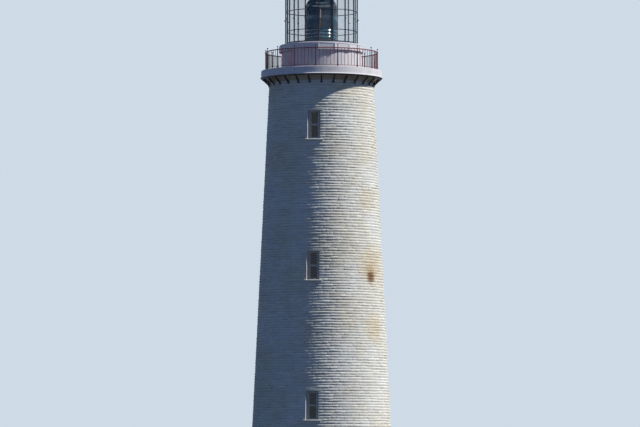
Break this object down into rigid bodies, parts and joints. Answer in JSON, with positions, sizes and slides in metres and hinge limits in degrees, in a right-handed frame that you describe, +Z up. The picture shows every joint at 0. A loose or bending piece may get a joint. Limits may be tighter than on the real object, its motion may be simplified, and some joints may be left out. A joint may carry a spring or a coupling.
{
  "type": "whitewashed stone lighthouse",
  "caption": "Tapering whitewashed stone lighthouse tower with sash windows, a railed gallery on iron brackets and a glazed lantern round a large lens.",
  "frame": {"origin": "centre of the tower at ground level, on the underside of the ground floor", "axes": "+Z up along the tower's axis; -Y is the side with the entrance and the window column that shows; +X is to the right of it"},
  "size_m": [8.3898, 8.8149, 32.3596],
  "materials": {
    "whitewashed_rubble": "rough whitewash over coursed stone",
    "dressed_stone": "dressed and whitewashed",
    "floor_stone": "flagged",
    "white_render": "smooth painted render",
    "window_paint": "old off-white paint",
    "door_paint": "satin paint",
    "window_glass": "old window glass",
    "dark_iron": "weathered dark paint",
    "rail_paint": "red gloss paint",
    "parapet_paint": "white satin paint",
    "gallery_door_paint": "pale grey paint",
    "lantern_paint": "blue-black gloss paint",
    "lantern_glass": "clear plate glass",
    "roof_paint": "blue-black paint, weathered",
    "lens_glass": "green-tinted optical glass",
    "lens_brass": "dull brass",
    "column_paint": "dark green satin paint"
  },
  "bodies": {
    "root": {"wall_lower_front": "whitewashed_rubble", "wall_lower_right": "whitewashed_rubble", "wall_lower_back": "whitewashed_rubble", "wall_lower_left": "whitewashed_rubble", "wall_upper_front": "whitewashed_rubble", "wall_upper_right": "whitewashed_rubble", "wall_upper_back": "whitewashed_rubble", "wall_upper_left": "whitewashed_rubble", "ground_floor": "floor_stone", "first_floor": "floor_stone", "second_floor": "floor_stone", "third_floor": "floor_stone", "window_sills": "dressed_stone", "window_lintels": "dressed_stone", "window_frames": "window_paint", "window_glass": "window_glass", "entrance_frame": "window_paint", "entrance_door": "door_paint", "entrance_lintel": "dressed_stone", "entrance_step": "dressed_stone", "gallery_slab": "white_render", "gallery_brackets": "dark_iron", "railing_posts": "rail_paint", "railing_panels": "rail_paint", "parapet_wall": "white_render", "parapet_panels": "parapet_paint", "gallery_door": "gallery_door_paint", "parapet_coping": "parapet_paint", "lantern_base_ring": "lantern_paint", "lantern_upright_bars": "lantern_paint", "lantern_glazing_bars": "lantern_paint", "lantern_hand_knobs": "lantern_paint", "lantern_head_ring": "lantern_paint", "lantern_glass_lower": "lantern_glass", "lantern_glass_middle": "lantern_glass", "lantern_glass_upper": "lantern_glass", "roof_gutter": "roof_paint", "roof_dome": "roof_paint", "roof_ventilator": "roof_paint", "roof_rod": "lens_brass", "lens_column": "column_paint", "lens_frame": "lens_brass", "lens_belt": "lens_glass", "lens_prisms_lower": "lens_glass", "lens_prisms_upper": "lens_glass"}
  },
  "joints": []
}
